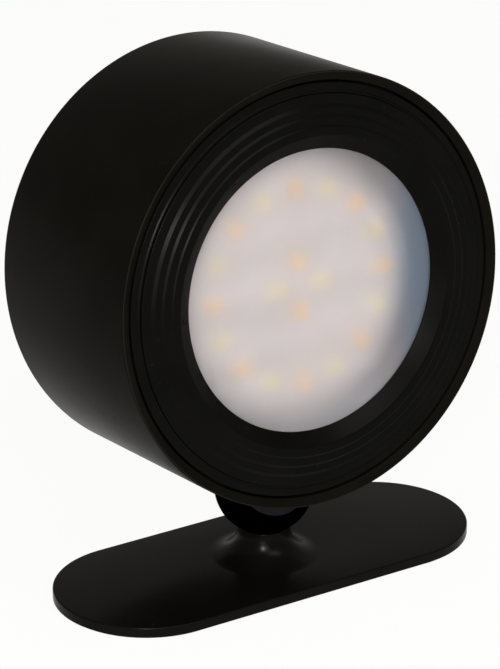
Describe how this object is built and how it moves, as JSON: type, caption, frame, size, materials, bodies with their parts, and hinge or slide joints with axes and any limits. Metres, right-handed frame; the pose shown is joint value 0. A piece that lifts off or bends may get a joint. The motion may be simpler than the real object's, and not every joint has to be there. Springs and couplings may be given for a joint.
{
  "type": "magnetic led light",
  "caption": "Round rechargeable LED light whose black drum head clings by a magnet to a ball on a flat stick-on plate, with a frosted round face and a stepped bezel.",
  "frame": {"origin": "centre of the plate's sticky underside", "axes": "+Z out of the plate, up through the stem and the ball; X along the plate; the lit face looks towards -Y"},
  "size_m": [0.0968, 0.0551, 0.1123],
  "materials": {
    "plate_black": "satin black powder coat on a metal casting",
    "pad_foam": "matt self-adhesive foam",
    "magnet_nickel": "nickel plated magnet",
    "cup_plastic": "slippery engineering plastic",
    "ball_black": "polished steel, black plated",
    "keeper_steel": "plain zinc plated steel",
    "shell_black": "fine matt moulded plastic",
    "cover_black": "fine matt moulded plastic",
    "bezel_black": "satin moulded plastic",
    "tape_black": "black double sided tape",
    "diffuser_white": "frosted translucent acrylic",
    "chamber_grey": "dark grey moulded plastic",
    "led_board_white": "white solder mask on an aluminium core",
    "led_warm": "orange phosphor",
    "led_cool": "yellow phosphor",
    "frame_grey": "natural moulded plastic",
    "screw_black": "blackened steel",
    "screw_steel": "zinc plated steel",
    "cell_wrap": "shrink wrapped cell",
    "foam_grey": "foam with sticky sides",
    "tab_nickel": "nickel strip",
    "wire_red": "silicone insulation",
    "wire_black": "silicone insulation",
    "wire_white": "silicone insulation",
    "board_green": "green solder mask",
    "component_black": "moulded electronic packages",
    "plug_white": "natural nylon",
    "port_steel": "formed steel",
    "foil_copper": "bare copper",
    "pipe_clear": "clear acrylic"
  },
  "bodies": {
    "wall_mount": {"adhesive_pad": "pad_foam", "base_plate": "plate_black"},
    "socket": {"stem_magnet": "magnet_nickel", "ball_cup": "cup_plastic"},
    "ball": {"pivot_ball": "ball_black"},
    "ball_seat": {"seat_cup": "cup_plastic", "seat_magnet": "magnet_nickel", "seat_keeper": "keeper_steel"},
    "head": {"seat_retainer": "keeper_steel", "housing_shell": "shell_black", "rear_cover": "cover_black", "stepped_bezel": "bezel_black", "trim_ring": "bezel_black", "bezel_tape": "tape_black", "diffuser": "diffuser_white", "reflector": "chamber_grey", "led_board": "led_board_white", "warm_leds": "led_warm", "cool_leds": "led_cool", "inner_frame": "frame_grey", "battery_strap": "frame_grey", "cover_screws": "screw_black", "led_board_screws": "screw_steel", "frame_screws": "screw_steel", "strap_screws": "screw_steel", "board_screws": "screw_steel", "retainer_screws": "screw_steel", "battery_cell": "cell_wrap", "battery_pad": "foam_grey", "battery_tabs": "tab_nickel", "battery_lead_red": "wire_red", "battery_lead_black": "wire_black", "led_leads": "wire_white", "control_board": "board_green", "board_components": "component_black", "led_plug": "plug_white", "usb_c_socket": "port_steel", "touch_pad": "foil_copper", "touch_contact": "foil_copper", "light_pipe": "pipe_clear"}
  },
  "joints": [
    {"name": "swivel", "type": "hinge", "parent": "wall_mount", "child": "socket", "pos_m": [0, 0, 0.01818], "axis": [0, 0, 1], "continuous": true},
    {"name": "tilt", "type": "hinge", "parent": "socket", "child": "ball", "pos_m": [0, 0, 0.01818], "axis": [1, 0, 0], "range_deg": [-30, 40]},
    {"name": "pull_off", "type": "slide", "parent": "ball", "child": "ball_seat", "axis": [0, 0.0872, 0.9962], "range_m": [0, 0.04]},
    {"name": "spin", "type": "hinge", "parent": "ball_seat", "child": "head", "pos_m": [0, 0, 0.01818], "axis": [0, 0.0872, 0.9962], "continuous": true}
  ]
}
